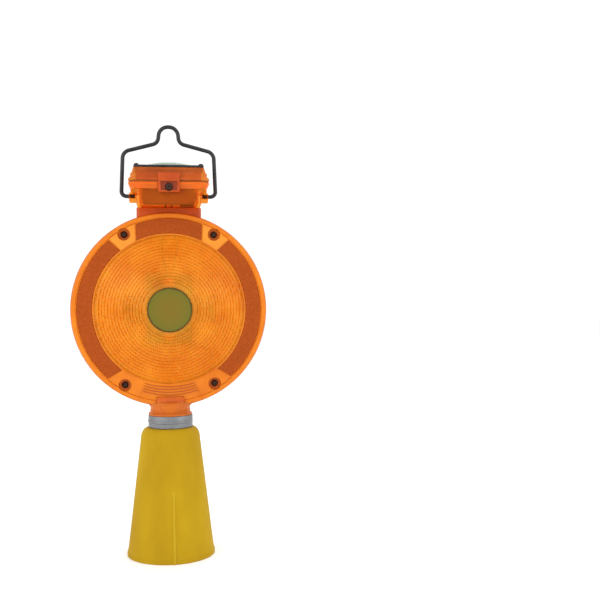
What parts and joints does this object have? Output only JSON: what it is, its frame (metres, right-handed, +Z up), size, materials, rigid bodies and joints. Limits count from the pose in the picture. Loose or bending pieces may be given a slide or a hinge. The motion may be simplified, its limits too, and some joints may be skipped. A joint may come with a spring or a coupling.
{
  "type": "traffic cone warning light",
  "caption": "Solar warning lamp: round double-sided amber lens, battery head with solar panel and wire handle, clamped on a tapered yellow sleeve that drops over a cone's top.",
  "frame": {"origin": "centre of the sleeve's open mouth, on the plane that the lamp stands on", "axes": "+X to the right as seen from the front, +Z up the sleeve's axis to the handle; the front lens faces -Y and the power button's side faces +Y"},
  "size_m": [0.186, 0.0864, 0.4144],
  "materials": {
    "amber_plastic": "translucent amber polycarbonate, gloss",
    "reflector": "prismatic red-brown reflector",
    "olive_cap": "olive, satin",
    "yellow_sleeve": "moulded yellow, satin",
    "grey_band": "zinc plated, satin",
    "black_wire": "black coated steel wire",
    "dark_screw": "blackened steel",
    "black_screw": "black",
    "nickel": "nickel plated",
    "black_plastic": "black, satin",
    "button_rubber": "black rubber",
    "rubber": "brown rubber",
    "clear_window": "clear domed window",
    "solar_cells": "dark blue silicon",
    "circuit_board": "green",
    "carrier": "white moulding",
    "led": "amber clear epoxy",
    "battery_cell": "plain sleeve",
    "red_lead": "insulation",
    "black_lead": "insulation"
  },
  "bodies": {
    "lamp": {"cone_sleeve": "yellow_sleeve", "clamp_band": "grey_band", "clamp_screw": "dark_screw", "clamp_nut": "nickel", "front_shell": "amber_plastic", "rear_shell": "amber_plastic", "neck_socket": "amber_plastic", "lamp_lead_red": "red_lead", "lamp_lead_black": "black_lead", "front_reflector_top": "reflector", "front_reflector_left": "reflector", "front_reflector_right": "reflector", "front_centre_cap": "olive_cap", "rear_reflector_top": "reflector", "rear_reflector_left": "reflector", "rear_reflector_right": "reflector", "rear_centre_cap": "olive_cap", "case_screw_1": "dark_screw", "case_screw_2": "dark_screw", "case_screw_3": "dark_screw", "case_screw_4": "dark_screw", "led_carrier": "carrier", "led_board": "circuit_board", "led_front_upper": "led", "led_front_lower": "led", "led_rear_upper": "led", "led_rear_lower": "led", "carrier_screw_left": "dark_screw", "carrier_screw_right": "dark_screw", "battery_case": "amber_plastic", "lid_gasket": "rubber", "head_lid": "amber_plastic", "lid_screw_front": "dark_screw", "lid_screw_rear": "dark_screw", "solar_panel": "solar_cells", "panel_window": "clear_window", "panel_bezel": "black_plastic", "bezel_screw_1": "black_screw", "bezel_screw_2": "black_screw", "bezel_screw_3": "black_screw", "bezel_screw_4": "black_screw", "battery_cell_front": "battery_cell", "battery_cell_rear": "battery_cell", "battery_link": "nickel", "battery_contact_front": "nickel", "battery_contact_rear": "nickel", "charge_board": "circuit_board", "switch_body": "black_plastic", "switch_nut": "nickel", "panel_lead_red": "red_lead", "panel_lead_black": "black_lead"},
    "handle": {"carry_handle": "black_wire"},
    "button": {"power_button": "button_rubber"}
  },
  "joints": [
    {"name": "handle_swing", "type": "hinge", "parent": "lamp", "child": "handle", "pos_m": [0, 0, 0.3455], "axis": [1, 0, 0], "range_deg": [-140, 140]},
    {"name": "button_press", "type": "slide", "parent": "lamp", "child": "button", "axis": [0, -1, 0], "range_m": [0, 0.0016], "stiffness_N_per_m": 500, "springref_m": -0.002}
  ]
}
